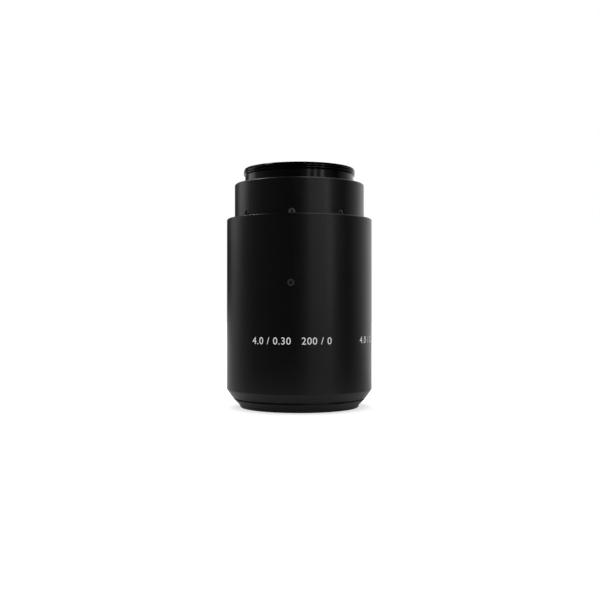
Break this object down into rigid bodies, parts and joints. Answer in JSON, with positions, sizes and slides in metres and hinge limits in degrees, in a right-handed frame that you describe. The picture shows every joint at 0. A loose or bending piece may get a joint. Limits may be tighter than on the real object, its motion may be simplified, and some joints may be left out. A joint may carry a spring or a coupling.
{
  "type": "microscope objective",
  "caption": "Long cylindrical black microscope objective with a wide outer sleeve, a short male mounting thread at the rear and a recessed front lens.",
  "frame": {"origin": "centre of the flat front face, which the objective stands on", "axes": "+Z along the optical axis from the front face towards the mounting thread; -Y through the set screw in the outer sleeve"},
  "size_m": [0.065, 0.065, 0.1063],
  "materials": {
    "black_anodised": "satin",
    "gloss_black": "gloss",
    "matte_black": "matte",
    "blackened_brass": "matte",
    "screw_steel": "satin",
    "white_print": "satin",
    "optical_glass": "polished"
  },
  "bodies": {
    "root": {"outer_sleeve": "black_anodised", "lens_barrel": "black_anodised", "front_ring": "black_anodised", "mount_ring": "gloss_black", "sleeve_set_screw": "screw_steel", "centring_screws": "screw_steel", "front_lens": "optical_glass", "front_cell": "matte_black", "front_retainer": "blackened_brass", "second_lens": "optical_glass", "second_cell": "matte_black", "second_retainer": "blackened_brass", "second_spacer": "blackened_brass", "doublet_front_lens": "optical_glass", "doublet_rear_lens": "optical_glass", "doublet_cell": "matte_black", "doublet_retainer": "blackened_brass", "doublet_spacer": "blackened_brass", "triplet_front_lens": "optical_glass", "triplet_middle_lens": "optical_glass", "triplet_rear_lens": "optical_glass", "triplet_cell": "matte_black", "triplet_retainer": "blackened_brass", "aperture_stop": "blackened_brass", "spacer_tube": "matte_black", "rear_front_lens": "optical_glass", "rear_rear_lens": "optical_glass", "rear_cell": "matte_black", "rear_retainer": "blackened_brass", "lock_ring": "blackened_brass"}
  },
  "joints": []
}
